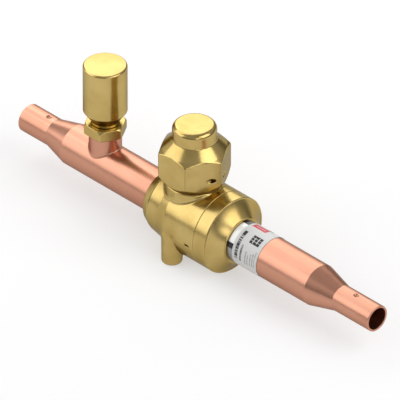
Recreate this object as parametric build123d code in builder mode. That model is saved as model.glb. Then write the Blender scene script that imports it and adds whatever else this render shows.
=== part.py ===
from build123d import *
import os
from math import asin, degrees

os.makedirs("parts", exist_ok=True)

# Shut-off ball valve with solder tube ends and an access port.
# Millimetres. X runs along the pipe, Z up the stem. The origin lies under the
# stem, in the plane of the two tapped mounting feet.
# Heights whose names end in _up are counted from the pipe's axis.

# Pipe line
tube_r = 9.1
tube_wall = 1.1
tube_bore_r = tube_r - tube_wall
braze_gap = 0.05
left_end_x = -97.0
left_socket_r = 5.1
left_end_wall = 1.05
left_end_r = left_socket_r + left_end_wall
left_socket_depth = 10.4
left_socket_length = 15.6
left_cone_length = 11.8
left_cone_end_x = left_end_x + left_socket_length
left_cone_start_x = left_cone_end_x + left_cone_length
left_stop_depth = 12.0
left_stop_x = left_end_x + left_stop_depth
right_end_x = 104.9
right_socket_r = 4.82
right_end_wall = 0.96
right_end_r = right_socket_r + right_end_wall
right_socket_depth = 10.2
right_socket_length = 20.4
right_cone_length = 12.9
right_cone_end_x = right_end_x - right_socket_length
right_cone_start_x = right_cone_end_x - right_cone_length
right_stop_depth = 11.8
right_stop_x = right_end_x - right_stop_depth
socket_step = 0.25
stop_dimple_r = 1.6
stop_dimple_depth = 0.7

# Ball and seats, counted outwards from the middle of the ball
running_gap = 0.05
ball_shell = 4.0
ball_r = tube_bore_r + ball_shell
cavity_gap = 0.6
cavity_r = ball_r + cavity_gap
seat_bore_r = tube_bore_r + 0.3
seat_face_width = 1.36
seat_lip_r = seat_bore_r + seat_face_width
seat_width = 2.7
seat_r = seat_bore_r + seat_width
seat_slack = 0.05
ball_face_r = ball_r + running_gap
seat_front_x = (ball_face_r**2 - seat_lip_r**2) ** 0.5
seat_thickness = 4.0
seat_back_x = seat_front_x + seat_thickness
backing_thickness = 1.4
backing_bore_r = seat_bore_r + 0.4
seat_floor_x = seat_back_x + backing_thickness
seat_pocket_depth = 1.6
cavity_x = seat_floor_x - seat_pocket_depth

# Closure screwed into the body
closure_thread_r = cavity_r + 1.4
closure_thread_length = 4.6
closure_gap = 0.05
closure_end_gap = 0.3
closure_ring_length = 6.6
trumpet_length = 5.0
trumpet_rim = 0.45
trumpet_hollow_r = 26.0
nose_wall = 1.1
nose_r = tube_r + nose_wall
nose_lip = 0.6
nose_web = 5.5
nose_tube_x = seat_floor_x + nose_web
seam_x = cavity_x + closure_thread_length
seam_bevel = 0.25
closure_face_x = seam_x + closure_ring_length
trumpet_x = closure_face_x + trumpet_length
nose_x = trumpet_x + nose_lip
oring_section_r = 0.7
oring_squash = 0.02
oring_groove_x = (cavity_x + closure_end_gap + seam_x) / 2

# Forged body, counted from the collar that takes the left tube
body_web = 1.0
collar_depth = 4.5
tube_seat_x = -seat_floor_x - body_web
collar_x = tube_seat_x - collar_depth
collar_r = tube_r + 3.4
collar_edge = 0.6
line_x = collar_x + 4.4
line_r = collar_r + 1.7
line_depth = 0.3
barrel_wall = 3.0
barrel_r = closure_thread_r + barrel_wall
waist_x = line_x + 6.7
waist_r = barrel_r - 1.6
barrel_x = waist_x + 5.1

# Stem, counted up from the pipe's axis
stem_r = 4.5
stem_gap = 0.04
tang_slot_width = 6.0
tang_slack = 0.1
tang_length = 10.0
tang_slot_up = tube_bore_r + 1.3
tang_bottom_up = tang_slot_up + 0.2
stem_flange_r = stem_r + 1.9
stem_pocket_r = stem_flange_r + 0.2
stem_flange_up = cavity_r + 0.5
washer_floor_up = stem_flange_up + 1.6
washer_top_up = washer_floor_up + 0.8
stem_oring_r = 0.55
lower_oring_up = washer_top_up + 2.2
upper_oring_up = lower_oring_up + 2.4
gland_floor_up = washer_top_up + 6.5
gland_wall = 2.1
gland_r = stem_r + gland_wall
packing_height = 2.0
packing_top_up = gland_floor_up + packing_height
gland_slot_width = 1.5
gland_slot_depth = 1.2

# Neck
neck_shoulder = 0.5
neck_up = barrel_r + neck_shoulder
thread_wall = 3.9
thread_r = gland_r + thread_wall
thread_height = 9.5
thread_up = neck_up + thread_height
thread_bevel = 0.8
neck_ledge = 2.4
neck_r = thread_r + neck_ledge
neck_rounding = 1.3
gland_top_up = thread_up - 0.2
square_size = 6.4
stem_top_up = thread_up + 9.0
stem_top_bevel = 0.7
stem_mark_width = 1.2
stem_mark_depth = 1.0

# Feet
foot_proud = 0.2
axis_height = barrel_r + foot_proud
foot_y = 13.1
foot_r = 4.4
foot_top_up = -3.0
foot_rounding = 1.0
foot_hole_r = 2.1
foot_hole_depth = 7.0

# Flow mark raised on the front of the barrel, with a slot sunk at its end
mark_proud = 0.12
mark_drop = 1.7
mark_start_x = barrel_x + 5.4
mark_ring_r = 1.1
mark_line_length = 6.6
mark_line_width = 0.6
mark_slot_length = 2.4
mark_slot_width = 0.9
mark_slot_depth = 0.8
mark_slot_x = mark_start_x + mark_ring_r + mark_line_length + 0.8

# Quarter-turn stop
plate_gap = 0.3
plate_bottom_up = thread_up + plate_gap
plate_thickness = 1.5
plate_top_up = plate_bottom_up + plate_thickness
plate_r = thread_r - 0.7
stop_pin_r = 1.0
stop_pin_place = (gland_r + thread_r) / 2
stop_pin_length = 5.6
stop_pin_top_up = plate_top_up - 0.2
stop_pin_bottom_up = stop_pin_top_up - stop_pin_length
stop_slack_deg = 2.0
plate_root_r = stop_pin_place - stop_pin_r - 0.8
clip_groove_depth = 0.5
clip_groove_r = stem_r - clip_groove_depth
clip_width = 2.0
clip_thickness = 0.8

# Seal cap
cap_across_flats = 27.0
cap_flat_r = cap_across_flats / 2
cap_corner_r = cap_flat_r * 2 / 3**0.5
cap_bottom_up = neck_up + 0.2
cap_rim_r = cap_flat_r - 1.5
cap_flat_low_up = cap_bottom_up + 1.4
cap_corner_low_up = cap_flat_low_up + 2.4
cap_thread_gap = 0.05
cap_gasket_width = 0.8
cap_gasket_r = thread_r + cap_thread_gap + cap_gasket_width
cap_gasket_top_up = cap_bottom_up + 0.7
cap_hollow_up = plate_top_up + 2.2
cap_chamber_r = stem_r + 2.1
cap_chamber_up = stem_top_up + 5.0
cap_roof = 3.6
cap_top_up = cap_chamber_up + cap_roof
cap_top_rounding = 2.2
cap_boss_r = 9.28
cap_boss_foot_up = cap_top_up - 6.5
cap_flat_high_up = cap_boss_foot_up - 4.3
cap_corner_high_up = cap_flat_high_up - 1.5
wire_hole_r = 1.0
wire_hole_x = cap_corner_r - 2.2
wire_hole_rise = 6.8
wire_hole_up = cap_bottom_up + wire_hole_rise

# Access port
port_x = -51.9
port_hole_r = 3.0
stub_r = 6.9
stub_wall = 1.95
stub_bore_r = stub_r - stub_wall
stub_top_up = tube_r + 6.4
fitting_across_flats = 16.0
fitting_flat_r = fitting_across_flats / 2
fitting_corner_r = fitting_flat_r * 2 / 3**0.5
fitting_rim_r = fitting_flat_r - 0.2
fitting_flat_low_up = stub_top_up + 0.15
fitting_corner_low_up = fitting_flat_low_up + 0.3
fitting_hex_height = 5.0
fitting_hex_top_up = stub_top_up + fitting_hex_height
fitting_top_bevel = 1.1
spigot_bottom_up = tube_r + 1.1
flare_thread_r = 5.55
flare_relief_depth = 0.65
flare_relief_r = flare_thread_r - flare_relief_depth
flare_relief_up = fitting_hex_top_up + 0.9
flare_length = 11.7
flare_cone_length = 2.0
flare_top_up = fitting_hex_top_up + flare_length
flare_start_up = flare_top_up - flare_cone_length

# Valve core of the access port, counted down from the flare
core_r = 2.55
core_gap = 0.05
port_bore_r = core_r + core_gap
port_throat_r = port_bore_r - 0.6
port_throat_up = stub_top_up + 1.5
flare_top_r = port_bore_r + 1.0
core_waist_r = 1.95
core_top_up = flare_top_up - 2.0
core_thread_length = 4.6
core_thread_foot_up = core_top_up - core_thread_length
core_gasket_top_up = core_thread_foot_up - 2.0
core_gasket_foot_up = core_gasket_top_up - 1.6
core_bottom_up = core_gasket_foot_up - 2.6
core_pin_r = 0.6
core_bore_r = core_pin_r + 0.15
core_chamber_r = 1.6
core_chamber_up = core_top_up - 5.4
core_collar_r = core_chamber_r - 0.2
core_collar_up = core_top_up - 1.0
core_collar_thickness = 0.6
core_pin_top_up = core_top_up + 0.7
core_seal_r = 1.7
core_seal_thickness = 0.8
core_pin_bottom_up = core_bottom_up - core_seal_thickness - 0.6
core_spring_wire_r = 0.14
core_spring_r = core_collar_r - 2 * core_spring_wire_r
core_spring_turns = 6

# Access cap
access_skirt_up = fitting_hex_top_up + 0.2
access_skirt_wall = 0.45
access_thread_gap = 0.06
access_bore_r = flare_thread_r + access_thread_gap
access_skirt_r = access_bore_r + access_skirt_wall
access_taper_foot_up = access_skirt_up + 1.1
access_taper_top_up = access_taper_foot_up + 4.8
access_cap_r = 9.27
access_cap_rounding = 1.0
access_seal_thickness = 1.0
access_seal_bore_r = port_bore_r + 0.6
access_seal_up = flare_top_up + access_seal_thickness
access_hollow_r = access_bore_r - 1.2
access_hollow_height = 10.8
access_hollow_up = access_seal_up + access_hollow_height
access_roof = 4.7
access_cap_top_up = access_hollow_up + access_roof

# Label wrapped on the tube
label_thickness = 0.15
foil_start_x = nose_x + 0.1
foil_width = 2.9
label_start_x = foil_start_x + foil_width
label_width = 13.8
label_end_x = label_start_x + label_width
label_front_deg = 230.0
label_back_deg = -20.0
label_corner_r = 3.3

side = Plane(origin=(0, 0, axis_height), x_dir=(1, 0, 0), z_dir=(0, -1, 0))
port_side = Plane(origin=(port_x, 0, axis_height), x_dir=(1, 0, 0), z_dir=(0, -1, 0))
across = Plane(origin=(0, 0, axis_height), x_dir=(0, 1, 0), z_dir=(1, 0, 0))
pipe_axis = Axis((0, 0, axis_height), (1, 0, 0))
port_axis = Axis((port_x, 0, 0), (0, 0, 1))


def level(height):
    """Plane parallel to the feet at a height counted from the pipe's axis."""
    return Plane.XY.offset(axis_height + height)


def port_level(height):
    """The same plane with its origin on the access port's axis."""
    return Plane(origin=(port_x, 0, axis_height + height))


# Body: a forging turned at both ends, with the neck that carries the cap and
# two feet. Everything inside it is bored from the seam end and from the top.
front = Plane(
    origin=(mark_start_x, -barrel_r - mark_proud, axis_height - mark_drop),
    x_dir=(1, 0, 0),
    z_dir=(0, -1, 0),
)
with BuildPart() as valve_body:
    with BuildSketch(side):
        with BuildLine():
            Polyline(
                (collar_x, 0),
                (collar_x, collar_r - collar_edge),
                (collar_x + collar_edge, collar_r),
                (line_x - line_depth, line_r - 0.1),
                (line_x, line_r - line_depth),
                (line_x + line_depth, line_r + 0.1),
                (waist_x, waist_r),
                (barrel_x, barrel_r),
                (seam_x - seam_bevel, barrel_r),
                (seam_x, barrel_r - seam_bevel),
                (seam_x, 0),
                close=True,
            )
        make_face()
    revolve(axis=pipe_axis)
    with BuildSketch(level(0)):
        Circle(neck_r)
    extrude(amount=neck_up)
    fillet(valve_body.edges().filter_by(GeomType.CIRCLE).sort_by(Axis.Z)[-1], neck_rounding)
    with BuildSketch(level(neck_up)):
        Circle(thread_r)
    extrude(amount=thread_up - neck_up)
    chamfer(valve_body.edges().filter_by(GeomType.CIRCLE).sort_by(Axis.Z)[-1], thread_bevel)
    with BuildSketch(Plane.XY):
        with GridLocations(0, 2 * foot_y, 1, 2):
            Circle(foot_r)
    extrude(amount=axis_height + foot_top_up)
    fillet(valve_body.faces().sort_by(Axis.Z)[:2].edges(), foot_rounding)
    with BuildSketch(front):
        Circle(mark_ring_r)
        Circle(mark_ring_r - mark_line_width, mode=Mode.SUBTRACT)
        with Locations((mark_ring_r - mark_line_width / 2, 0)):
            Rectangle(mark_line_length, mark_line_width, align=(Align.MIN, Align.CENTER))
    extrude(amount=-4 * mark_line_width)
    with BuildSketch(front):
        with Locations((mark_slot_x - mark_start_x, 0)):
            SlotOverall(mark_slot_length, mark_slot_width)
    extrude(amount=-mark_proud - mark_slot_depth, mode=Mode.SUBTRACT)
    with BuildSketch(side):
        with BuildLine():
            Polyline(
                (collar_x, 0),
                (collar_x, tube_r + braze_gap),
                (tube_seat_x, tube_r + braze_gap),
                (tube_seat_x, tube_bore_r),
                (-seat_floor_x, tube_bore_r),
                (-seat_floor_x, seat_r + seat_slack),
                (-cavity_x, seat_r + seat_slack),
                (-cavity_x, cavity_r),
                (cavity_x, cavity_r),
                (cavity_x, closure_thread_r),
                (seam_x, closure_thread_r),
                (seam_x, 0),
                close=True,
            )
        make_face()
    revolve(axis=pipe_axis, mode=Mode.SUBTRACT)
    with BuildSketch(level(0)):
        Circle(stem_pocket_r)
    extrude(amount=washer_top_up, mode=Mode.SUBTRACT)
    with BuildSketch(level(washer_top_up)):
        Circle(stem_r + stem_gap)
    extrude(amount=gland_floor_up - washer_top_up, mode=Mode.SUBTRACT)
    with BuildSketch(level(gland_floor_up)):
        Circle(gland_r)
    extrude(amount=thread_up - gland_floor_up, mode=Mode.SUBTRACT)
    with BuildSketch(level(stop_pin_bottom_up)):
        with Locations((stop_pin_place, 0)):
            Circle(stop_pin_r)
    extrude(amount=thread_up - stop_pin_bottom_up, mode=Mode.SUBTRACT)
    with BuildSketch(Plane.XY):
        with GridLocations(0, 2 * foot_y, 1, 2):
            Circle(foot_hole_r)
    extrude(amount=foot_hole_depth, mode=Mode.SUBTRACT)
valve_body.part.label = "valve_body"
export_step(valve_body.part, "parts/valve_body.step")

# Closure: screws into the body behind the right seat; its nose takes the tube.
with BuildPart() as end_closure:
    with BuildSketch(side):
        with BuildLine():
            Polyline(
                (cavity_x + closure_end_gap, seat_r + seat_slack),
                (cavity_x + closure_end_gap, closure_thread_r - closure_gap),
                (seam_x, closure_thread_r - closure_gap),
                (seam_x, barrel_r - seam_bevel),
                (seam_x + seam_bevel, barrel_r),
                (closure_face_x - seam_bevel, barrel_r),
                (closure_face_x, barrel_r - seam_bevel),
                (closure_face_x, barrel_r - seam_bevel - trumpet_rim),
            )
            RadiusArc(
                (closure_face_x, barrel_r - seam_bevel - trumpet_rim),
                (trumpet_x, nose_r),
                trumpet_hollow_r,
            )
            Polyline(
                (trumpet_x, nose_r),
                (nose_x - seam_bevel, nose_r),
                (nose_x, nose_r - seam_bevel),
                (nose_x, tube_r + braze_gap),
                (nose_tube_x, tube_r + braze_gap),
                (nose_tube_x, tube_bore_r),
                (seat_floor_x, tube_bore_r),
                (seat_floor_x, seat_r + seat_slack),
                (cavity_x + closure_end_gap, seat_r + seat_slack),
            )
        make_face()
    revolve(axis=pipe_axis)
    with BuildSketch(side):
        with Locations((oring_groove_x, closure_thread_r - oring_section_r)):
            Rectangle(2.4 * oring_section_r, 2 * oring_section_r + 2 * oring_squash)
    revolve(axis=pipe_axis, mode=Mode.SUBTRACT)
end_closure.part.label = "end_closure"
export_step(end_closure.part, "parts/end_closure.step")

with BuildPart() as closure_oring:
    with BuildSketch(side):
        with Locations((oring_groove_x, closure_thread_r - oring_section_r - oring_squash)):
            Circle(oring_section_r)
    revolve(axis=pipe_axis)
closure_oring.part.label = "closure_oring"
export_step(closure_oring.part, "parts/closure_oring.step")

# Tubes: drawn down to the solder sockets. A dimple pressed from above stops
# the pipe that is soldered in.
with BuildPart() as left_tube:
    with BuildSketch(side):
        with BuildLine():
            Polyline(
                (left_end_x, left_socket_r),
                (left_end_x, left_end_r),
                (left_cone_end_x, left_end_r),
                (left_cone_start_x, tube_r),
                (tube_seat_x, tube_r),
                (tube_seat_x, tube_bore_r),
                (left_cone_start_x, tube_bore_r),
                (left_cone_end_x, left_socket_r - socket_step),
                (left_end_x + left_socket_depth, left_socket_r - socket_step),
                (left_end_x + left_socket_depth, left_socket_r),
                close=True,
            )
        make_face()
    revolve(axis=pipe_axis)
    with BuildSketch(port_level(0)):
        Circle(port_hole_r)
    extrude(amount=2 * tube_r, mode=Mode.SUBTRACT)
    with Locations((left_stop_x, 0, axis_height + left_socket_r + stop_dimple_r - stop_dimple_depth)):
        Sphere(stop_dimple_r)
    with Locations((left_stop_x, 0, axis_height + left_end_r + stop_dimple_r - stop_dimple_depth)):
        Sphere(stop_dimple_r, mode=Mode.SUBTRACT)
left_tube.part.label = "left_tube"
export_step(left_tube.part, "parts/left_tube.step")

with BuildPart() as right_tube:
    with BuildSketch(side):
        with BuildLine():
            Polyline(
                (right_end_x, right_socket_r),
                (right_end_x, right_end_r),
                (right_cone_end_x, right_end_r),
                (right_cone_start_x, tube_r),
                (nose_tube_x, tube_r),
                (nose_tube_x, tube_bore_r),
                (right_cone_start_x, tube_bore_r),
                (right_cone_end_x, right_socket_r - socket_step),
                (right_end_x - right_socket_depth, right_socket_r - socket_step),
                (right_end_x - right_socket_depth, right_socket_r),
                close=True,
            )
        make_face()
    revolve(axis=pipe_axis)
    with Locations((right_stop_x, 0, axis_height + right_socket_r + stop_dimple_r - stop_dimple_depth)):
        Sphere(stop_dimple_r)
    with Locations((right_stop_x, 0, axis_height + right_end_r + stop_dimple_r - stop_dimple_depth)):
        Sphere(stop_dimple_r, mode=Mode.SUBTRACT)
right_tube.part.label = "right_tube"
export_step(right_tube.part, "parts/right_tube.step")

# Ball: bored to the tube's own inside, so an open valve narrows nothing. Its
# slot lies across the bore, which lets a closed ball press on the seat behind.
with BuildPart() as ball:
    with Locations((0, 0, axis_height)):
        Sphere(ball_r)
    with BuildSketch(across.offset(-ball_r)):
        Circle(tube_bore_r)
    extrude(amount=2 * ball_r, mode=Mode.SUBTRACT)
    with BuildSketch(level(tang_slot_up)):
        Rectangle(tang_slot_width, 2 * ball_r)
    extrude(amount=ball_r, mode=Mode.SUBTRACT)
ball.part.label = "ball"
export_step(ball.part, "parts/ball.step")

# Seats: plastic rings whose faces follow the ball, each backed by a soft ring.
with BuildPart() as seat_right:
    seat_lip_x = (ball_face_r**2 - seat_bore_r**2) ** 0.5
    with BuildSketch(side):
        with BuildLine():
            RadiusArc((seat_lip_x, seat_bore_r), (seat_front_x, seat_lip_r), -ball_face_r)
            Polyline(
                (seat_front_x, seat_lip_r),
                (seat_front_x, seat_r),
                (seat_back_x, seat_r),
                (seat_back_x, seat_bore_r),
                (seat_lip_x, seat_bore_r),
            )
        make_face()
    revolve(axis=pipe_axis)
seat_right.part.label = "seat_right"
export_step(seat_right.part, "parts/seat_right.step")

with BuildPart() as seat_left:
    mirror(seat_right.part, about=Plane.YZ)
seat_left.part.label = "seat_left"
export_step(seat_left.part, "parts/seat_left.step")

with BuildPart() as seat_backing_right:
    with BuildSketch(across.offset(seat_back_x)):
        Circle(seat_r)
        Circle(backing_bore_r, mode=Mode.SUBTRACT)
    extrude(amount=seat_floor_x - seat_back_x)
seat_backing_right.part.label = "seat_backing_right"
export_step(seat_backing_right.part, "parts/seat_backing_right.step")

with BuildPart() as seat_backing_left:
    mirror(seat_backing_right.part, about=Plane.YZ)
seat_backing_left.part.label = "seat_backing_left"
export_step(seat_backing_left.part, "parts/seat_backing_left.step")

# Stem: put in from inside, so pressure only holds its flange harder. A tang
# below turns the ball, a square above takes the spanner and the stop plate.
with BuildPart() as stem:
    with BuildSketch(level(tang_bottom_up)):
        Rectangle(tang_slot_width - tang_slack, tang_length)
    extrude(amount=stem_flange_up - tang_bottom_up)
    with BuildSketch(side):
        with BuildLine():
            Polyline(
                (0, stem_flange_up),
                (stem_flange_r, stem_flange_up),
                (stem_flange_r, washer_floor_up),
                (stem_r, washer_floor_up),
                (stem_r, stem_top_up - stem_top_bevel),
                (stem_r - stem_top_bevel, stem_top_up),
                (0, stem_top_up),
                close=True,
            )
        make_face()
    revolve(axis=Axis.Z)
    with BuildSketch(level(thread_up)):
        Circle(2 * stem_r)
        Rectangle(square_size, square_size, mode=Mode.SUBTRACT)
    extrude(amount=stem_top_up - thread_up, mode=Mode.SUBTRACT)
    with BuildSketch(level(plate_top_up)):
        Circle(stem_r + 1)
        Circle(clip_groove_r, mode=Mode.SUBTRACT)
    extrude(amount=clip_thickness, mode=Mode.SUBTRACT)
    with BuildSketch(side):
        for ring_up in (lower_oring_up, upper_oring_up):
            with Locations((stem_r - stem_oring_r + stem_gap, ring_up)):
                Rectangle(2 * stem_oring_r + 2 * stem_gap, 2.4 * stem_oring_r)
    revolve(axis=Axis.Z, mode=Mode.SUBTRACT)
    with BuildSketch(level(stem_top_up)):
        Rectangle(square_size, stem_mark_width)
    extrude(amount=-stem_mark_depth, mode=Mode.SUBTRACT)
stem.part.label = "stem"
export_step(stem.part, "parts/stem.step")

with BuildPart() as thrust_washer:
    with BuildSketch(level(washer_floor_up)):
        Circle(stem_flange_r)
        Circle(stem_r + running_gap, mode=Mode.SUBTRACT)
    extrude(amount=washer_top_up - washer_floor_up)
thrust_washer.part.label = "thrust_washer"
export_step(thrust_washer.part, "parts/thrust_washer.step")

with BuildPart() as stem_oring_lower:
    with BuildSketch(side):
        with Locations((stem_r - stem_oring_r, lower_oring_up)):
            Circle(stem_oring_r)
    revolve(axis=Axis.Z)
stem_oring_lower.part.label = "stem_oring_lower"
export_step(stem_oring_lower.part, "parts/stem_oring_lower.step")

with BuildPart() as stem_oring_upper:
    with BuildSketch(side):
        with Locations((stem_r - stem_oring_r, upper_oring_up)):
            Circle(stem_oring_r)
    revolve(axis=Axis.Z)
stem_oring_upper.part.label = "stem_oring_upper"
export_step(stem_oring_upper.part, "parts/stem_oring_upper.step")

with BuildPart() as packing_ring:
    with BuildSketch(level(gland_floor_up)):
        Circle(gland_r)
        Circle(stem_r + running_gap, mode=Mode.SUBTRACT)
    extrude(amount=packing_top_up - gland_floor_up)
packing_ring.part.label = "packing_ring"
export_step(packing_ring.part, "parts/packing_ring.step")

with BuildPart() as gland_nut:
    with BuildSketch(level(packing_top_up)):
        Circle(gland_r)
        Circle(stem_r + running_gap, mode=Mode.SUBTRACT)
    extrude(amount=gland_top_up - packing_top_up)
    with BuildSketch(level(gland_top_up)):
        Rectangle(gland_slot_width, 2 * gland_r)
    extrude(amount=-gland_slot_depth, mode=Mode.SUBTRACT)
gland_nut.part.label = "gland_nut"
export_step(gland_nut.part, "parts/gland_nut.step")

# Quarter-turn stop: a notched plate on the stem's square meets a pin in the
# neck at each end of its travel; a spring clip holds the plate down.
with BuildPart() as stop_plate:
    with BuildSketch(level(plate_bottom_up)):
        Circle(plate_r)
        with BuildSketch(mode=Mode.PRIVATE) as notch:
            with BuildLine():
                edge = degrees(asin(stop_pin_r / stop_pin_place)) + stop_slack_deg
                reach = PolarLine((0, 0), 2 * plate_r, edge)
                back = PolarLine((0, 0), 2 * plate_r, -90 - edge)
                Polyline(reach @ 1, (2 * plate_r, -2 * plate_r), back @ 1)
            make_face()
            Circle(plate_root_r, mode=Mode.SUBTRACT)
        add(notch.sketch, mode=Mode.SUBTRACT)
        Rectangle(square_size + running_gap, square_size + running_gap, mode=Mode.SUBTRACT)
    extrude(amount=plate_thickness)
stop_plate.part.label = "stop_plate"
export_step(stop_plate.part, "parts/stop_plate.step")

with BuildPart() as stop_pin:
    with BuildSketch(level(stop_pin_bottom_up)):
        with Locations((stop_pin_place, 0)):
            Circle(stop_pin_r)
    extrude(amount=stop_pin_top_up - stop_pin_bottom_up)
stop_pin.part.label = "stop_pin"
export_step(stop_pin.part, "parts/stop_pin.step")

with BuildPart() as stem_clip:
    with BuildSketch(level(plate_top_up)):
        Circle(clip_groove_r + clip_width)
        Circle(clip_groove_r + running_gap, mode=Mode.SUBTRACT)
        with Locations((0, -clip_groove_r - clip_width)):
            Rectangle(clip_groove_r, 2 * clip_width + clip_groove_r, mode=Mode.SUBTRACT)
    extrude(amount=clip_thickness)
stem_clip.part.label = "stem_clip"
export_step(stem_clip.part, "parts/stem_clip.step")

# Seal cap: a turned shape cut to a hexagon, hollow to clear the stem.
with BuildPart() as seal_cap:
    with BuildSketch(side):
        with BuildLine():
            Polyline(
                (0, cap_bottom_up),
                (cap_rim_r, cap_bottom_up),
                (cap_flat_r, cap_flat_low_up),
                (cap_corner_r, cap_corner_low_up),
                (cap_corner_r, cap_corner_high_up),
            )
            ThreePointArc(
                (cap_corner_r, cap_corner_high_up),
                (cap_flat_r, cap_flat_high_up),
                (cap_boss_r, cap_boss_foot_up),
            )
            Polyline(
                (cap_boss_r, cap_boss_foot_up),
                (cap_boss_r, cap_top_up - cap_top_rounding),
            )
            RadiusArc(
                (cap_boss_r, cap_top_up - cap_top_rounding),
                (cap_boss_r - cap_top_rounding, cap_top_up),
                -cap_top_rounding,
            )
            Polyline(
                (cap_boss_r - cap_top_rounding, cap_top_up),
                (0, cap_top_up),
                (0, cap_bottom_up),
            )
        make_face()
    revolve(axis=Axis.Z)
    with BuildSketch(level(cap_bottom_up)):
        RegularPolygon(cap_flat_r, 6, major_radius=False)
    extrude(amount=cap_top_up - cap_bottom_up, mode=Mode.INTERSECT)
    with BuildSketch(side):
        with BuildLine():
            Polyline(
                (0, cap_bottom_up),
                (cap_gasket_r, cap_bottom_up),
                (cap_gasket_r, cap_gasket_top_up),
                (thread_r + cap_thread_gap, cap_gasket_top_up),
                (thread_r + cap_thread_gap, cap_hollow_up),
                (cap_chamber_r, cap_hollow_up + thread_r - cap_chamber_r),
                (cap_chamber_r, cap_chamber_up),
                (0, cap_chamber_up),
                close=True,
            )
        make_face()
    revolve(axis=Axis.Z, mode=Mode.SUBTRACT)
    with BuildSketch(side):
        with Locations((wire_hole_x, wire_hole_up)):
            Circle(wire_hole_r)
    extrude(amount=cap_corner_r, both=True, mode=Mode.SUBTRACT)
seal_cap.part.label = "seal_cap"
export_step(seal_cap.part, "parts/seal_cap.step")

with BuildPart() as seal_cap_gasket:
    with BuildSketch(level(neck_up)):
        Circle(cap_gasket_r - cap_thread_gap)
        Circle(thread_r + cap_thread_gap, mode=Mode.SUBTRACT)
    extrude(amount=cap_gasket_top_up - neck_up)
seal_cap_gasket.part.label = "seal_cap_gasket"
export_step(seal_cap_gasket.part, "parts/seal_cap_gasket.step")

# Access port: a copper stub saddled on the tube, a brass fitting in it.
with BuildPart() as access_stub:
    with BuildSketch(port_level(0)):
        Circle(stub_r)
        Circle(stub_bore_r, mode=Mode.SUBTRACT)
    extrude(amount=stub_top_up)
    with BuildSketch(across.offset(port_x - 2 * stub_r)):
        Circle(tube_r)
    extrude(amount=4 * stub_r, mode=Mode.SUBTRACT)
access_stub.part.label = "access_stub"
export_step(access_stub.part, "parts/access_stub.step")

with BuildPart() as access_fitting:
    with BuildSketch(port_side):
        with BuildLine():
            Polyline(
                (port_throat_r, stub_top_up),
                (fitting_rim_r, stub_top_up),
                (fitting_flat_r, fitting_flat_low_up),
                (fitting_corner_r, fitting_corner_low_up),
                (fitting_corner_r, fitting_hex_top_up - fitting_top_bevel),
                (fitting_corner_r - fitting_top_bevel, fitting_hex_top_up),
                (port_throat_r, fitting_hex_top_up),
                close=True,
            )
        make_face()
    revolve(axis=port_axis)
    with BuildSketch(port_level(stub_top_up)):
        RegularPolygon(fitting_flat_r, 6, major_radius=False)
    extrude(amount=fitting_hex_top_up - stub_top_up, mode=Mode.INTERSECT)
    with BuildSketch(port_side):
        with BuildLine():
            Polyline(
                (0, spigot_bottom_up),
                (stub_bore_r - braze_gap, spigot_bottom_up),
                (stub_bore_r - braze_gap, fitting_hex_top_up),
                (flare_relief_r, flare_relief_up),
                (flare_thread_r, flare_relief_up + flare_thread_r - flare_relief_r),
                (flare_thread_r, flare_start_up),
                (flare_top_r, flare_top_up),
                (0, flare_top_up),
                close=True,
            )
        make_face()
    revolve(axis=port_axis)
    with BuildSketch(port_side):
        with BuildLine():
            Polyline(
                (0, spigot_bottom_up),
                (port_throat_r, spigot_bottom_up),
                (port_throat_r, port_throat_up),
                (port_bore_r, port_throat_up + port_bore_r - port_throat_r),
                (port_bore_r, flare_top_up),
                (0, flare_top_up),
                close=True,
            )
        make_face()
    revolve(axis=port_axis, mode=Mode.SUBTRACT)
access_fitting.part.label = "access_fitting"
export_step(access_fitting.part, "parts/access_fitting.step")

# Valve core: pressing the pin pushes its seal off the bottom of the core.
with BuildPart() as core_body:
    with BuildSketch(port_side):
        with BuildLine():
            Polyline(
                (core_bore_r, core_bottom_up),
                (core_waist_r, core_bottom_up),
                (core_waist_r, core_thread_foot_up),
                (core_r, core_thread_foot_up),
                (core_r, core_top_up),
                (core_chamber_r, core_top_up),
                (core_chamber_r, core_chamber_up),
                (core_bore_r, core_chamber_up),
                close=True,
            )
        make_face()
    revolve(axis=port_axis)
core_body.part.label = "core_body"
export_step(core_body.part, "parts/core_body.step")

with BuildPart() as core_gasket:
    with BuildSketch(port_level(core_gasket_foot_up)):
        Circle(core_r)
        Circle(core_waist_r, mode=Mode.SUBTRACT)
    extrude(amount=core_gasket_top_up - core_gasket_foot_up)
core_gasket.part.label = "core_gasket"
export_step(core_gasket.part, "parts/core_gasket.step")

with BuildPart() as core_pin:
    with BuildSketch(port_side):
        with BuildLine():
            Polyline(
                (0, core_pin_bottom_up),
                (core_pin_r, core_pin_bottom_up),
                (core_pin_r, core_collar_up),
                (core_collar_r, core_collar_up),
                (core_collar_r, core_collar_up + core_collar_thickness),
                (core_pin_r, core_collar_up + core_collar_thickness),
                (core_pin_r, core_pin_top_up),
                (0, core_pin_top_up),
                close=True,
            )
        make_face()
    revolve(axis=port_axis)
core_pin.part.label = "core_pin"
export_step(core_pin.part, "parts/core_pin.step")

with BuildPart() as core_seal:
    with BuildSketch(port_level(core_bottom_up)):
        Circle(core_seal_r)
        Circle(core_pin_r, mode=Mode.SUBTRACT)
    extrude(amount=-core_seal_thickness)
core_seal.part.label = "core_seal"
export_step(core_seal.part, "parts/core_seal.step")

with BuildPart() as core_spring:
    spring_foot = axis_height + core_chamber_up + core_spring_wire_r
    spring_length = core_collar_up - core_chamber_up - 2 * core_spring_wire_r
    with BuildLine() as coil:
        Helix(
            spring_length / core_spring_turns,
            spring_length,
            core_spring_r,
            center=(port_x, 0, spring_foot),
        )
    with BuildSketch(Plane(origin=coil.line @ 0, z_dir=coil.line % 0)):
        Circle(core_spring_wire_r)
    sweep(path=coil.line, is_frenet=True)
core_spring.part.label = "core_spring"
export_step(core_spring.part, "parts/core_spring.step")

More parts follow.
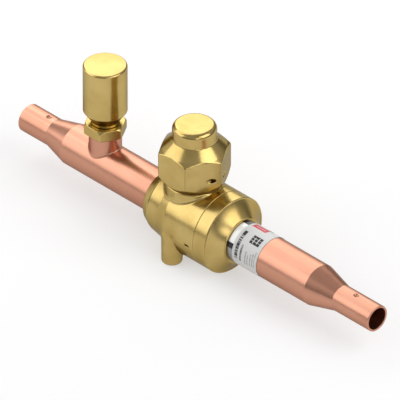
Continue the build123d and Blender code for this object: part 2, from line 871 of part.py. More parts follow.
# Access cap: a tall smooth cap that seals on a ring over the flare.
with BuildPart() as access_cap:
    with BuildSketch(port_side):
        with BuildLine():
            Polyline(
                (0, access_skirt_up),
                (access_skirt_r, access_skirt_up),
                (access_skirt_r, access_taper_foot_up),
                (access_cap_r, access_taper_top_up),
                (access_cap_r, access_cap_top_up - access_cap_rounding),
            )
            RadiusArc(
                (access_cap_r, access_cap_top_up - access_cap_rounding),
                (access_cap_r - access_cap_rounding, access_cap_top_up),
                -access_cap_rounding,
            )
            Polyline(
                (access_cap_r - access_cap_rounding, access_cap_top_up),
                (0, access_cap_top_up),
                (0, access_skirt_up),
            )
        make_face()
    revolve(axis=port_axis)
    with BuildSketch(port_side):
        with BuildLine():
            Polyline(
                (0, access_skirt_up),
                (access_bore_r, access_skirt_up),
                (access_bore_r, access_seal_up),
                (access_hollow_r, access_seal_up),
                (access_hollow_r, access_hollow_up),
                (0, access_hollow_up),
                close=True,
            )
        make_face()
    revolve(axis=port_axis, mode=Mode.SUBTRACT)
access_cap.part.label = "access_cap"
export_step(access_cap.part, "parts/access_cap.step")

with BuildPart() as access_cap_seal:
    with BuildSketch(port_level(flare_top_up)):
        Circle(flare_thread_r)
        Circle(access_seal_bore_r, mode=Mode.SUBTRACT)
    extrude(amount=access_seal_up - flare_top_up)
access_cap_seal.part.label = "access_cap_seal"
export_step(access_cap_seal.part, "parts/access_cap_seal.step")

# Label: a bright foil ring beside the closure and a printed panel.
with BuildPart() as label_foil:
    with BuildSketch(across.offset(foil_start_x)):
        Circle(tube_r + label_thickness)
        Circle(tube_r, mode=Mode.SUBTRACT)
    extrude(amount=label_start_x - foil_start_x)
label_foil.part.label = "label_foil"
export_step(label_foil.part, "parts/label_foil.step")

with BuildPart() as label_panel:
    turn = label_front_deg - label_back_deg
    with BuildSketch(across.offset(label_start_x)):
        with BuildLine():
            outer = CenterArc((0, 0), tube_r + label_thickness, label_back_deg, turn)
            inner = CenterArc((0, 0), tube_r, label_back_deg, turn)
            Line(outer @ 0, inner @ 0)
            Line(outer @ 1, inner @ 1)
        make_face()
    extrude(amount=label_end_x - label_start_x)
    for end_x, along in ((label_start_x, -1), (label_end_x, 1)):
        for end_deg, round_tube in ((label_front_deg, -1), (label_back_deg, 1)):
            centre_deg = end_deg + round_tube * degrees(label_corner_r / tube_r)
            corner = Plane(
                origin=(end_x - along * label_corner_r, 0, axis_height),
                x_dir=(1, 0, 0),
                z_dir=Vector(0, 1, 0).rotate(Axis.X, centre_deg),
            )
            with BuildSketch(corner):
                with Locations((along * label_corner_r, round_tube * label_corner_r)):
                    Rectangle(2 * label_corner_r, 2 * label_corner_r)
                Circle(label_corner_r, mode=Mode.SUBTRACT)
            extrude(amount=2 * tube_r, mode=Mode.SUBTRACT)
label_panel.part.label = "label_panel"
export_step(label_panel.part, "parts/label_panel.step")
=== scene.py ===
# %% [markdown]
# This scene dresses a shut-off ball valve: a forged and turned brass body in a
# copper pipe, a hexagonal seal cap over its stem, and a capped access port.
# The measured model comes first and stays the frame that everything is hung on.
# Blender works in metres, a workshop in millimetres, so sizes are written in
# millimetres here and shrunk once, when a mesh is made.

# %% Load the measured model
import math

import bpy
import numpy as np
from mathutils import Matrix, Vector


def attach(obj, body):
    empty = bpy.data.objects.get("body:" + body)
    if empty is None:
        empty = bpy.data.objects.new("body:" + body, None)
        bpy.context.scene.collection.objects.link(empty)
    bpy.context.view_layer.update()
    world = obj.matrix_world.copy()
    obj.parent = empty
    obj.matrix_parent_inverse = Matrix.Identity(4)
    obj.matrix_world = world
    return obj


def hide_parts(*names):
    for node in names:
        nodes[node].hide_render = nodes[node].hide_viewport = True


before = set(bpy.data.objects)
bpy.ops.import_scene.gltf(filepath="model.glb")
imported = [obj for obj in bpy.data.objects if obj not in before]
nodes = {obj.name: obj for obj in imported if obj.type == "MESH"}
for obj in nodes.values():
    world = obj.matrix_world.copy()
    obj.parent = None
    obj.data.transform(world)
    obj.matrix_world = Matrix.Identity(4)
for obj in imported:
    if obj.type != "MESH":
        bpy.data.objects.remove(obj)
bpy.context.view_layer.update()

MM = 0.001

# Sizes that several pieces share; heights in a section count from the pipe's axis
axis_up = 17.2
port_x = -51.9
tube_r, tube_in_r = 9.1, 8.0
barrel_r = 17.0
seam_x = 15.603
foot_y = 13.1
print("nodes in the frame:", len(nodes))

# %% [markdown]
# Shader maths reads best as plain arithmetic. The class below wraps a socket,
# and each operator adds one Math node, so that `1 - mask` is a working line.
# Every other node comes from one method that takes its type, its settings and
# what goes into its sockets.

# %% A wire that can be added, multiplied and compared
class Wire:
    """One output socket on a bench, with arithmetic."""

    def __init__(self, bench, socket):
        self.bench = bench
        self.socket = socket

    def maths(self, operation, *others):
        values = dict(enumerate((self, *others)))
        return self.bench.add("ShaderNodeMath", {"operation": operation}, values)

    def __add__(self, other):
        return self.maths("ADD", other)

    def __sub__(self, other):
        return self.maths("SUBTRACT", other)

    def __mul__(self, other):
        return self.maths("MULTIPLY", other)

    def __truediv__(self, other):
        return self.maths("DIVIDE", other)

    def __rsub__(self, other):
        return self.bench.add("ShaderNodeMath", {"operation": "SUBTRACT"}, {0: other, 1: self})

    __radd__ = __add__
    __rmul__ = __mul__

    def ramp(self, low, high, start=0.0, end=1.0):
        """A soft step from start to end as the value goes from low to high."""
        settings = {"interpolation_type": "SMOOTHSTEP"}
        values = {"Value": self, "From Min": low, "From Max": high, "To Min": start, "To Max": end}
        return self.bench.add("ShaderNodeMapRange", settings, values)

    def band(self, low, high, soft):
        """1 between low and high, 0 outside, with soft edges."""
        return self.ramp(low - soft, low + soft) * self.ramp(high - soft, high + soft, 1.0, 0.0)


class Bench:
    """One material under work: it owns the node tree and adds nodes to it."""

    def __init__(self, name):
        self.material = bpy.data.materials.new(name)
        self.material.use_nodes = True
        self.tree = self.material.node_tree
        self.tree.nodes.clear()

    def add(self, kind, settings=None, values=None, out=0):
        node = self.tree.nodes.new(kind)
        for key, value in (settings or {}).items():
            if key == "stops":
                for place, colour in value[1:-1]:
                    node.color_ramp.elements.new(place)
                for element, (place, colour) in zip(node.color_ramp.elements, value):
                    element.position = place
                    element.color = (*colour, 1.0)
            else:
                setattr(node, key, value)
        for key, value in (values or {}).items():
            if isinstance(value, Wire):
                self.tree.links.new(value.socket, node.inputs[key])
            else:
                node.inputs[key].default_value = value
        return Wire(self, node.outputs[out])

    def place(self):
        """Object coordinates, whole and as x, y and z in millimetres."""
        spot = self.add("ShaderNodeTexCoord", out="Object")
        parts = [self.add("ShaderNodeSeparateXYZ", values={0: spot}, out=i) for i in range(3)]
        return spot, *(part * 1000 for part in parts)

    def noise(self, spot, scale, detail=3.0, roughness=0.55):
        """Soft random blotches from 0 to 1; scale counts them per metre."""
        values = {"Vector": spot, "Scale": scale, "Detail": detail, "Roughness": roughness}
        return self.add("ShaderNodeTexNoise", values=values)

    def blend(self, factor, first, second):
        """Colour mixing: first where factor is 0, second where it is 1."""
        values = {0: factor, 6: first, 7: second}
        return self.add("ShaderNodeMix", {"data_type": "RGBA"}, values, out=2)

    def bump(self, height, depth_mm):
        """Relief without geometry: a height of 1 stands depth_mm above the skin."""
        values = {"Height": height, "Distance": depth_mm * MM, "Strength": 1.0}
        return self.add("ShaderNodeBump", values=values)

    def finish(self, **values):
        """Closes the material with one Principled shader."""
        named = {key.replace("_", " "): value for key, value in values.items()}
        return self.close(self.add("ShaderNodeBsdfPrincipled", values=named))

    def close(self, shader):
        output = self.tree.nodes.new("ShaderNodeOutputMaterial")
        self.tree.links.new(shader.socket, output.inputs["Surface"])
        return self.material


print("shader bench ready")

# %% [markdown]
# Turned parts are drawn as a lathe cuts them: half a section, spun about its
# axis. Modifiers could do it with Screw and Bevel, but then the light breaks
# at every edge. Here each corner of the section gets a small real radius and
# every point keeps its exact normal, so polished brass reflects cleanly.

# %% A lathe that keeps exact normals
def eased(section, closed, ease):
    """Rounds the corners of a section of (along, radius[, corner radius])."""
    points, normals = [], []
    count = len(section)
    for i, corner in enumerate(section):
        here = np.array(corner[:2], float)
        before = np.array(section[i - 1][:2], float)
        after = np.array(section[(i + 1) % count][:2], float)
        first, last = (not closed and i == 0), (not closed and i == count - 1)
        into = here - before if not first else after - here
        away = after - here if not last else here - before
        into_length, away_length = np.linalg.norm(into), np.linalg.norm(away)
        into, away = into / into_length, away / away_length
        turn = math.atan2(into[0] * away[1] - into[1] * away[0], float(into @ away))
        side = np.array([-into[1], into[0]])
        if abs(turn) < 1e-4:
            points.append(here)
            normals.append(side)
            continue
        wanted = corner[2] if len(corner) > 2 else ease
        reach = min(wanted * math.tan(abs(turn) / 2), 0.45 * into_length, 0.45 * away_length)
        radius = reach / math.tan(abs(turn) / 2)
        centre = here - into * reach + side * math.copysign(radius, turn)
        steps = max(2, math.ceil(abs(math.degrees(turn)) * (0.05 + 0.09 * radius)))
        for step in range(steps + 1):
            angle = turn * step / steps
            cos, sin = math.cos(angle), math.sin(angle)
            normal = np.array([side[0] * cos - side[1] * sin, side[0] * sin + side[1] * cos])
            points.append(centre - normal * math.copysign(radius, turn))
            normals.append(normal)
    return np.array(points), np.array(normals)


def solid_from(name, vertices, faces, normals, material):
    """Makes a smooth mesh in metres whose faces point the way its normals do."""
    mesh = bpy.data.meshes.new(name)
    mesh.from_pydata((vertices * MM).tolist(), [], faces)
    mesh.update()
    centre_normals = np.zeros(len(mesh.polygons) * 3)
    mesh.polygons.foreach_get("normal", centre_normals)
    corner = np.array([p.vertices[0] for p in mesh.polygons])
    facing = (centre_normals.reshape(-1, 3) * normals[corner]).sum(1)
    if np.median(facing) < 0:
        mesh.flip_normals()
    mesh.shade_smooth()
    mesh.normals_split_custom_set_from_vertices(normals.tolist())
    mesh.materials.append(material)
    made = bpy.data.objects.new(name, mesh)
    bpy.context.scene.collection.objects.link(made)
    return made


def spun(section, axis="X", centre=(0.0, 0.0), closed=True, ease=0.12, around=160, dimple=None):
    """Vertices, faces and outward normals of a section spun about an axis.

    A section runs anticlockwise seen with the axis to the right, and its
    first number is the place along the axis. A dimple is (along, reach,
    depth): a round dent pressed in from above."""
    points, normals = eased(section, closed, ease)
    angles = np.linspace(0, 2 * np.pi, around, endpoint=False)
    rows = len(points)
    along = np.repeat(points[:, :1], around, axis=1)
    radius = np.repeat(points[:, 1:], around, axis=1)
    lean_along = -np.repeat(normals[:, :1], around, axis=1)
    lean_out = -np.repeat(normals[:, 1:], around, axis=1)
    lean_round = np.zeros_like(lean_out)
    if dimple:
        place, reach, depth = dimple
        aside = (angles[None, :] - np.pi / 2) * radius
        share = np.clip(np.hypot(along - place, aside) / reach, 0, 1)
        slope = -2 * share * (1 - share**2) * 2 * depth / reach
        away = np.maximum(np.hypot(along - place, aside), 1e-6)
        lean_along = lean_along + lean_out * slope * (along - place) / away
        lean_round = lean_out * slope * aside / away
        radius = radius - depth * (1 - share**2) ** 2
    cos, sin = np.cos(angles)[None, :], np.sin(angles)[None, :]
    first, second = radius * cos, radius * sin
    lean_first = lean_out * cos - lean_round * sin
    lean_second = lean_out * sin + lean_round * cos
    if axis == "X":
        parts = (along, first, second + axis_up)
        leans = (lean_along, lean_first, lean_second)
    else:
        parts = (first + centre[0], second + centre[1], along + axis_up)
        leans = (lean_first, lean_second, lean_along)
    vertices = np.stack(parts, -1).reshape(-1, 3)
    directions = np.stack(leans, -1).reshape(-1, 3)
    directions /= np.linalg.norm(directions, axis=1)[:, None]
    faces = []
    for row in range(rows if closed else rows - 1):
        a, b = row * around, (row + 1) % rows * around
        first_pole = not closed and row == 0 and points[0, 1] < 1e-6
        last_pole = not closed and row == rows - 2 and points[-1, 1] < 1e-6
        for i in range(around):
            j = (i + 1) % around
            if first_pole:
                faces.append((a, b + j, b + i))
            elif last_pole:
                faces.append((a + i, a + j, b))
            else:
                faces.append((a + i, a + j, b + j, b + i))
    used = np.unique([corner for face in faces for corner in face])
    place_of = {old: new for new, old in enumerate(used.tolist())}
    faces = [tuple(place_of[corner] for corner in face) for face in faces]
    return vertices[used], faces, directions[used]


def turned(name, section, material, **lathe):
    """A turned piece as a finished object."""
    vertices, faces, normals = spun(section, **lathe)
    return solid_from(name, vertices, faces, normals, material)


print("lathe ready")

# %% [markdown]
# The body, the two hexagon pieces and the brazed stub are shapes that a lathe
# can't give. They are written as distance fields: a formula that says how far
# a point lies from the metal. Fields join with a real fillet and cut with a
# real edge radius, and a net drawn over the zero surface takes its normals
# from the formula itself, so a forged blend looks forged.

# %% Distance fields and the net that skins them
def outline_of(section, ease=0.0):
    """Distance to a closed outline, with its corners rounded first."""
    corners = eased(section, True, ease)[0] if ease else np.array(section, float)

    def distance(along, out):
        nearest = np.full(np.broadcast(along, out).shape, 1e9)
        inside = np.zeros(nearest.shape, bool)
        for (ax, ay), (bx, by) in zip(corners, np.roll(corners, -1, 0)):
            ex, ey = bx - ax, by - ay
            share = np.clip(((along - ax) * ex + (out - ay) * ey) / (ex * ex + ey * ey), 0, 1)
            off_x, off_y = along - ax - share * ex, out - ay - share * ey
            nearest = np.minimum(nearest, off_x**2 + off_y**2)
            if abs(ey) > 1e-9:
                crossed = (ay > out) != (by > out)
                inside ^= crossed & (along < ax + ex * (out - ay) / ey)
        return np.where(inside, -1, 1) * np.sqrt(nearest)

    return distance


def joined(first, second, fillet):
    """The two together, with a round fillet where they meet."""
    corner = np.hypot(np.maximum(fillet - first, 0), np.maximum(fillet - second, 0))
    return np.maximum(fillet, np.minimum(first, second)) - corner


def shared(first, second, ease):
    """What lies in both, with its new edges eased."""
    return -joined(-first, -second, ease)


def without(first, second, ease):
    """The first with the second cut out of it."""
    return shared(first, -second, ease)


def ticks_along(low, high, step, stretches):
    """Places of the grid along one axis, closer together in finer stretches."""
    places = np.arange(low, high + step, step)
    for start, end, small in stretches:
        before, after = places[places < start], places[places > end]
        places = np.concatenate((before, np.arange(start, end, small), after))
    return places


def net_over(field, low, high, step, finer=()):
    """Vertices, four-sided faces and normals of the surface where field is 0.

    Finer lists stretches of the grid as (axis, from, to, step)."""
    ticks = []
    for i in range(3):
        stretches = [stretch[1:] for stretch in finer if stretch[0] == i]
        ticks.append(ticks_along(low[i], high[i], step, stretches))
    counts = np.array([len(places) for places in ticks])
    grid = np.empty(tuple(counts))
    for i, x in enumerate(ticks[0]):
        grid[i] = field(x, ticks[1][:, None], ticks[2][None, :])
    inside = grid < 0
    filled = np.zeros(tuple(counts - 1), int)
    for corner in range(8):
        a, b, c = corner & 1, corner >> 1 & 1, corner >> 2
        filled += inside[a : counts[0] - 1 + a, b : counts[1] - 1 + b, c : counts[2] - 1 + c]
    cells = np.argwhere((filled > 0) & (filled < 8))
    number = np.full(tuple(counts - 1), -1)
    number[tuple(cells.T)] = np.arange(len(cells))
    middles = [(places[1:] + places[:-1]) / 2 for places in ticks]
    widths = [np.diff(places) for places in ticks]
    points = np.column_stack([middles[i][cells[:, i]] for i in range(3)])
    room = np.column_stack([widths[i][cells[:, i]] for i in range(3)]) / 2

    def slope_at(spots):
        probe = 0.01
        columns = []
        for i in range(3):
            shift = np.zeros(3)
            shift[i] = probe
            more, fewer = spots + shift, spots - shift
            columns.append((field(*more.T) - field(*fewer.T)) / (2 * probe))
        return np.column_stack(columns)

    for _ in range(5):
        slope = slope_at(points)
        size = np.maximum((slope**2).sum(1), 0.05)
        move = (field(*points.T) / size)[:, None] * slope
        points = points - np.clip(move, -room, room)
    slope = slope_at(points)
    normals = slope / np.maximum(np.linalg.norm(slope, axis=1), 1e-9)[:, None]
    faces = []
    for i in range(3):
        j, k = (i + 1) % 3, (i + 2) % 3
        near = np.moveaxis(inside, i, 0)
        change = np.moveaxis(near[:-1] != near[1:], 0, i)
        edges = np.argwhere(change)
        edges = edges[(edges[:, j] > 0) & (edges[:, k] > 0)]
        edges = edges[(edges[:, j] < counts[j] - 1) & (edges[:, k] < counts[k] - 1)]
        ring = []
        for back_j, back_k in ((1, 1), (0, 1), (0, 0), (1, 0)):
            cell = edges.copy()
            cell[:, j] -= back_j
            cell[:, k] -= back_k
            ring.append(number[tuple(cell.T)])
        ring = np.column_stack(ring)
        outward = inside[tuple(edges.T)]
        ring[~outward] = ring[~outward][:, ::-1]
        faces.append(ring)
    return points, np.vstack(faces).tolist(), normals


def skinned(name, field, low, high, step, material, finer=()):
    """A field as a finished object; its heights are counted from the pipe."""
    vertices, faces, normals = net_over(field, low, high, step, finer)
    vertices = vertices + np.array((0, 0, axis_up))
    print(name, "faces:", len(faces))
    return solid_from(name, vertices, faces, normals, material)


print("fields ready")

# %% [markdown]
# The brass is machined bar and forging: a warm yellow metal with a satin skin.
# Its colour drifts a little where handling has dulled it, and fine tool lines
# run round whatever was turned. The lines only move the gloss and the relief,
# because the cutter leaves the colour alone. On the seal cap, thin lines of
# painted shade run down the corners of the hexagon.

# %% Brass, as forged and as turned
edge_tint = (0.5, 0.5, 0.49, 1.0)


def brass(name, satin, lines=None, grain=0.0004, painted_shade=None):
    """Satin is the roughness; lines and the mask of painted shade are functions of the place."""
    tone = (0.53, 0.39, 0.145)
    bench = Bench(name)
    spot, x, y, z = bench.place()
    cloud = bench.noise(spot, 90.0, 4.0)
    mottle = bench.noise(spot, 1400.0, 3.0)
    dull = [channel * shade for channel, shade in zip(tone, (0.86, 0.83, 0.74))]
    colour = bench.blend(cloud.ramp(0.35, 0.7), (*tone, 1.0), (*dull, 1.0))
    # Painted shade: where the given mask is high, the colour is darkened to 72 percent.
    if painted_shade:
        dark = [channel * 0.72 for channel in tone]
        colour = bench.blend(painted_shade(bench, x, y, z), colour, (*dark, 1.0))
    height = mottle * grain
    rough = mottle.ramp(0.3, 0.7, satin - 0.008, satin + 0.01)
    if lines:
        cut = lines(bench, x, y, z)
        height = height + cut * grain
        rough = rough + cut * 0.02
    relief = bench.bump(height, 1.0)
    return bench.finish(
        Base_Color=colour, Metallic=1.0, Roughness=rough, Specular_Tint=edge_tint, Normal=relief
    )


def tool_lines(bench, along, scale):
    """Rings that a cutter leaves as it travels along an axis."""
    values = {"W": along, "Scale": scale, "Detail": 4.0, "Roughness": 0.7}
    return bench.add("ShaderNodeTexNoise", {"noise_dimensions": "1D"}, values)


def rings_along_x(bench, x, y, z):
    return tool_lines(bench, x, 2.6)


def rings_along_z(bench, x, y, z):
    return tool_lines(bench, z, 3.0)


def painted_hexagon_edge_shade(bench, x, y, z):
    """Thin lines of painted shade down the corners of the seal cap's hexagon."""
    turn = bench.add("ShaderNodeMath", {"operation": "ARCTAN2"}, {0: y, 1: x})
    near = (turn * 6.0).maths("COSINE")
    on_flats = (z - axis_up).band(20.5, 32.8, 0.5)
    not_access_port = x.band(-17.0, 17.0, 0.2)
    return near.ramp(0.982, 0.996) * on_flats * not_access_port * 0.8


forged_brass = brass("forged_brass", 0.255)
turned_brass = brass("turned_brass", 0.243, rings_along_x)
cap_brass = brass("cap_brass", 0.19, rings_along_z, grain=0.0003, painted_shade=painted_hexagon_edge_shade)
print("brass mixed")

# %% [markdown]
# Copper tube is drawn through a die, so its lines run lengthwise. Its colour
# is made faintly darker near the brass; the bright pinkish tone is that of
# fresh tube.

# %% Copper, drawn lengthwise
def copper_drawn():
    bench = Bench("copper")
    spot, x, y, z = bench.place()
    stretched = bench.add(
        "ShaderNodeVectorMath", {"operation": "MULTIPLY"}, {0: spot, 1: (60.0, 900.0, 900.0)}
    )
    values = {"Vector": stretched, "Scale": 1.0, "Detail": 3.0}
    drawn = bench.add("ShaderNodeTexNoise", values=values)
    cloud = bench.noise(spot, 60.0, 3.0)
    near_joint = x.maths("ABSOLUTE").ramp(16.0, 34.0, 1.0, 0.0)
    shade = near_joint * 0.5 + cloud.ramp(0.4, 0.75, 0.0, 0.35)
    colour = bench.blend(shade, (0.57, 0.28, 0.19, 1.0), (0.49, 0.22, 0.14, 1.0))
    rough = drawn.ramp(0.3, 0.7, 0.285, 0.325)
    relief = bench.bump(drawn * 0.001, 1.0)
    return bench.finish(
        Base_Color=colour, Metallic=1.0, Roughness=rough, Specular_Tint=edge_tint, Normal=relief
    )


copper = copper_drawn()
print("copper drawn")

# %% [markdown]
# The small hidden parts are finished too, because they come into view as soon
# as a cap is unscrewed: bright steel, hard chrome, white seat plastic, black
# rubber and soft annealed copper. One recipe does for all five: two shades, a
# range of gloss and the size of the blotches.

# %% Steel, chrome, plastic, rubber and soft copper
def plain_finish(name, light, dark, metal, gloss, scale):
    """Gloss is the lowest and highest roughness; scale counts blotches per metre."""
    bench = Bench(name)
    spot, x, y, z = bench.place()
    cloud = bench.noise(spot, scale, 3.0)
    colour = bench.blend(cloud.ramp(0.35, 0.7), (*light, 1.0), (*dark, 1.0))
    rough = cloud.ramp(0.3, 0.7, *gloss)
    relief = bench.bump(cloud * 0.004, 1.0)
    return bench.finish(Base_Color=colour, Metallic=metal, Roughness=rough, Normal=relief)


finishes = {
    "forged_brass": forged_brass,
    "cap_brass": cap_brass,
    "copper": copper,
    "steel": plain_finish(
        "steel", (0.62, 0.62, 0.61), (0.5, 0.5, 0.49), 1.0, (0.22, 0.34), 700.0
    ),
    "chrome_ball": plain_finish(
        "chrome", (0.72, 0.73, 0.75), (0.66, 0.67, 0.7), 1.0, (0.05, 0.09), 300.0
    ),
    "seat_plastic": plain_finish(
        "plastic", (0.85, 0.84, 0.8), (0.78, 0.77, 0.72), 0.0, (0.4, 0.5), 500.0
    ),
    "seal_rubber": plain_finish(
        "rubber", (0.03, 0.03, 0.032), (0.02, 0.02, 0.02), 0.0, (0.5, 0.65), 900.0
    ),
    "gasket_copper": plain_finish(
        "soft_copper", (0.75, 0.4, 0.28), (0.66, 0.33, 0.22), 1.0, (0.3, 0.42), 600.0
    ),
}
print("finishes:", len(finishes))

# %% [markdown]
# The label is printed paper wound on the tube, beside a narrow silver band
# whose white field and dark end marks are a painted highlight and painted
# dark reflections. The print and those painted reflections are worked out from
# the place along the pipe and the angle round it, so nothing slides when the
# part is seen from another side. Words are left as plain bars of ink.

# %% Label print
def round_the_pipe(bench, y, z):
    """Angle round the pipe in degrees: 0 towards the front, 90 on top."""
    turn = bench.add("ShaderNodeMath", {"operation": "ARCTAN2"}, {0: z - axis_up, 1: y * -1.0})
    return turn * math.degrees(1)


def letters_like(bench, angle, count, low, high):
    """Marks and gaps of uneven length along a line, as print looks from afar."""
    values = {"W": angle, "Scale": count, "Detail": 1.0}
    marks = bench.add("ShaderNodeTexNoise", {"noise_dimensions": "1D"}, values)
    return marks.ramp(low, high)


def label_print():
    bench = Bench("label_paper")
    spot, x, y, z = bench.place()
    angle = round_the_pipe(bench, y, z)

    def ink(x_low, x_high, front, back, soft=0.12):
        """A printed bar: from and to along the pipe, then round it in degrees."""
        return x.band(x_low, x_high, soft) * angle.band(front, back, soft * 6)

    fibre = bench.noise(spot, 2600.0, 3.0)
    colour = bench.blend(fibre, (0.60, 0.60, 0.59, 1.0), (0.66, 0.66, 0.65, 1.0))
    bold = ink(32.2, 33.8, -6.0, 75.0) * letters_like(bench, angle, 0.3, 0.4, 0.46)
    second = ink(34.9, 35.9, -9.0, 37.0) * letters_like(bench, angle, 0.5, 0.42, 0.48)
    colour = bench.blend(bold + second, colour, (0.02, 0.02, 0.025, 1.0))

    rows = ink(37.8, 38.5, -11.0, 26.0)
    rows = rows + ink(39.1, 39.7, -11.0, 20.0)
    rows = rows + ink(40.6, 41.2, -8.0, 25.0)
    rows = rows + ink(41.8, 42.4, -8.0, 30.0)
    rows = rows + ink(42.9, 43.4, -6.0, 37.0)
    small_print = rows * letters_like(bench, angle, 0.8, 0.4, 0.5) * 0.7
    colour = bench.blend(small_print, colour, (0.1, 0.1, 0.11, 1.0))

    mark = ink(37.3, 42.5, 50.0, 75.0)
    gaps_across = ((38.7, 39.1, 52.0, 70.0), (40.6, 41.0, 55.0, 73.0))
    gaps_along = ((37.0, 43.0, 58.0, 59.2), (37.0, 43.0, 66.3, 67.5))
    for gap in gaps_across + gaps_along:
        mark = mark * (1.0 - ink(*gap))
    colour = bench.blend(mark, colour, (0.015, 0.015, 0.018, 1.0))

    pale_line = ink(33.2, 38.4, 106.0, 109.0)
    red_patch = ink(32.0, 39.4, 98.0, 119.0, 0.2) * (1.0 - pale_line * 0.8)
    colour = bench.blend(red_patch, colour, (0.62, 0.02, 0.04, 1.0))
    green_dot = ink(37.4, 40.2, 121.0, 130.0, 0.3)
    colour = bench.blend(green_dot, colour, (0.03, 0.12, 0.07, 1.0))
    rough = fibre.ramp(0.3, 0.7, 0.4, 0.5)
    relief = bench.bump(fibre * 0.004, 1.0)
    return bench.finish(Base_Color=colour, Roughness=rough, Specular_IOR_Level=0.35, Normal=relief)


def band_foil():
    """Silver band: a painted highlight as a white field, a painted dark reflection at each end of
    it, grey metal beyond.
    """
    bench = Bench("silver_band")
    spot, x, y, z = bench.place()
    angle = round_the_pipe(bench, y, z)
    fine = bench.noise(spot, 900.0, 3.0)
    # Painted highlight and painted dark reflections: the white field stands for a lamp's
    # reflection and the dark marks beside it for dark surroundings.
    white = angle.band(27.0, 92.5, 1.0)
    painted_dark_reflection = angle.band(12.0, 27.0, 1.0) + angle.band(92.5, 108.0, 1.0)
    silver = bench.blend(fine, (0.28, 0.28, 0.29, 1.0), (0.34, 0.34, 0.35, 1.0))
    colour = bench.blend(white, silver, (0.88, 0.88, 0.86, 1.0))
    colour = bench.blend(painted_dark_reflection, colour, (0.012, 0.012, 0.014, 1.0))
    rough = fine.ramp(0.3, 0.7, 0.16, 0.24)
    # Where the painted reflections lie, the band is not metallic.
    return bench.finish(Base_Color=colour, Metallic=1.0 - (white + painted_dark_reflection) * 0.9, Roughness=rough)


finishes["foil"] = band_foil()
finishes["label_paper"] = label_print()
print("label printed")

# %% [markdown]
# Every solid of the measured model gets the finish its slot asks for. The
# hidden ones keep their own shape and show it when the valve is taken apart.

# %% Finishes on the measured solids
def finish_solids():
    for node in nodes.values():
        for place in node.material_slots:
            asked = place.material.name if place.material else ""
            key = next((key for key in finishes if asked.startswith(key)), "steel")
            place.material = finishes[key]
    print("solids finished:", len(nodes))


finish_solids()

# %% [markdown]
# From here on pieces are made. Each is hung on the body that it moves with,
# and where it is a finer copy of measured solids it takes their place.

# %% Hanging a piece on its body
def fit(piece, slot, *stands_for, body="valve"):
    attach(piece, body)
    if stands_for:
        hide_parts(*stands_for)


print("pieces can be hung")

# %% [markdown]
# Both tube ends are drawn down from the run of the pipe to a socket for a
# smaller tube. Metal that is drawn bends over a long soft radius at each end
# of the cone, and a punch leaves the dimple that stops the inserted pipe.

# %% Copper tubes
def drawn_tube(name, root, cone, dent, bottom, end, outer_r, neck_r, socket_r):
    """A tube from its root in the brass to the mouth of its socket.

    Cone gives the two ends of the taper, dent the place of the dimple and
    bottom the place where the socket ends and the bore narrows to neck_r.
    Close rows of points lie under the dimple, outside and inside."""
    soft_bend, row_step = 1.2, 0.15
    back = end < root
    inward = 1 if back else -1
    rows = sorted(dent + 1.6 - row_step * np.arange(22), reverse=back)
    rows_in = sorted(bottom + inward * (0.2 + row_step * np.arange(21)), reverse=back)
    inside = [
        (root, tube_in_r),
        (cone[0], tube_in_r, soft_bend),
        (cone[1], neck_r, soft_bend),
        *((x, neck_r) for x in rows_in),
        (bottom, neck_r, 0.04),
        (bottom, socket_r, 0.04),
        (end, socket_r, 0.25),
    ]
    outside = [
        (root, tube_r),
        (cone[0], tube_r, soft_bend),
        (cone[1], outer_r, soft_bend),
        *((x, outer_r) for x in rows),
        (end, outer_r, 0.3),
    ]
    section = inside[::-1] + outside if back else inside + outside[::-1]
    dent_reach, dent_depth = 1.45, 0.7
    return turned(name, section, copper, dimple=(dent, dent_reach, dent_depth))


closure_seat_x = 18.15
left_tube = drawn_tube(
    "left_tube_drawn", root=-13.65, cone=(-69.6, -81.4), dent=-85.0, bottom=-86.6, end=-97.0,
    outer_r=6.15, neck_r=4.85, socket_r=5.1,
)
right_tube = drawn_tube(
    "right_tube_drawn", root=closure_seat_x, cone=(71.6, 84.5), dent=93.1, bottom=94.7, end=104.9,
    outer_r=5.78, neck_r=4.57, socket_r=4.82,
)
fit(left_tube, "copper", "left_tube")
fit(right_tube, "copper", "right_tube")
print("tubes drawn, faces:", len(left_tube.data.polygons) + len(right_tube.data.polygons))

# %% [markdown]
# The closure is turned from bar and screwed into the body. Its face runs down
# to the tube as a slightly hollow cone, like a trumpet, and a fine seam stays
# visible where it meets the body.

# %% End closure
def hollow_arc(start, end, radius, count=12):
    """Points of an arc between two places of a section, bent towards the axis."""
    start, end = np.array(start), np.array(end)
    chord = end - start
    reach = np.linalg.norm(chord)
    outward = np.array((-chord[1], chord[0])) / reach
    centre = (start + end) / 2 + outward * math.sqrt(radius**2 - reach**2 / 4)
    first = math.atan2(*(start - centre)[::-1])
    last = math.atan2(*(end - centre)[::-1])
    angles = np.linspace(first, last, count)
    return [tuple(centre + radius * np.array((math.cos(t), math.sin(t)))) for t in angles]


face_x, face_r = 22.203, 16.3
nose_x, nose_r, nose_lip = 27.803, 10.2, 0.6
trumpet = hollow_arc((face_x, face_r), (nose_x - nose_lip, nose_r), 26.0)
end_closure = turned(
    "end_closure_turned",
    [(11.303, 11.05), (12.603, 11.05), (12.603, tube_in_r), (closure_seat_x, tube_in_r)]
    + [(closure_seat_x, 9.14), (nose_x, 9.14, 0.1), (nose_x, nose_r, 0.2), *trumpet[::-1]]
    + [(face_x, barrel_r, 0.35), (seam_x, barrel_r, 0.3), (seam_x, 13.95), (11.303, 13.95)],
    turned_brass,
)
fit(end_closure, "forged_brass", "end_closure")
print("closure turned")

# %% [markdown]
# The body starts as a forging. The barrel, the neck and the feet grow into one
# another; the ends are turned, which leaves the step, the slope of the
# shoulder and one fine line. These are the half sections of each of them, and
# of what is bored out: the pipe's bore and the well of the stem.

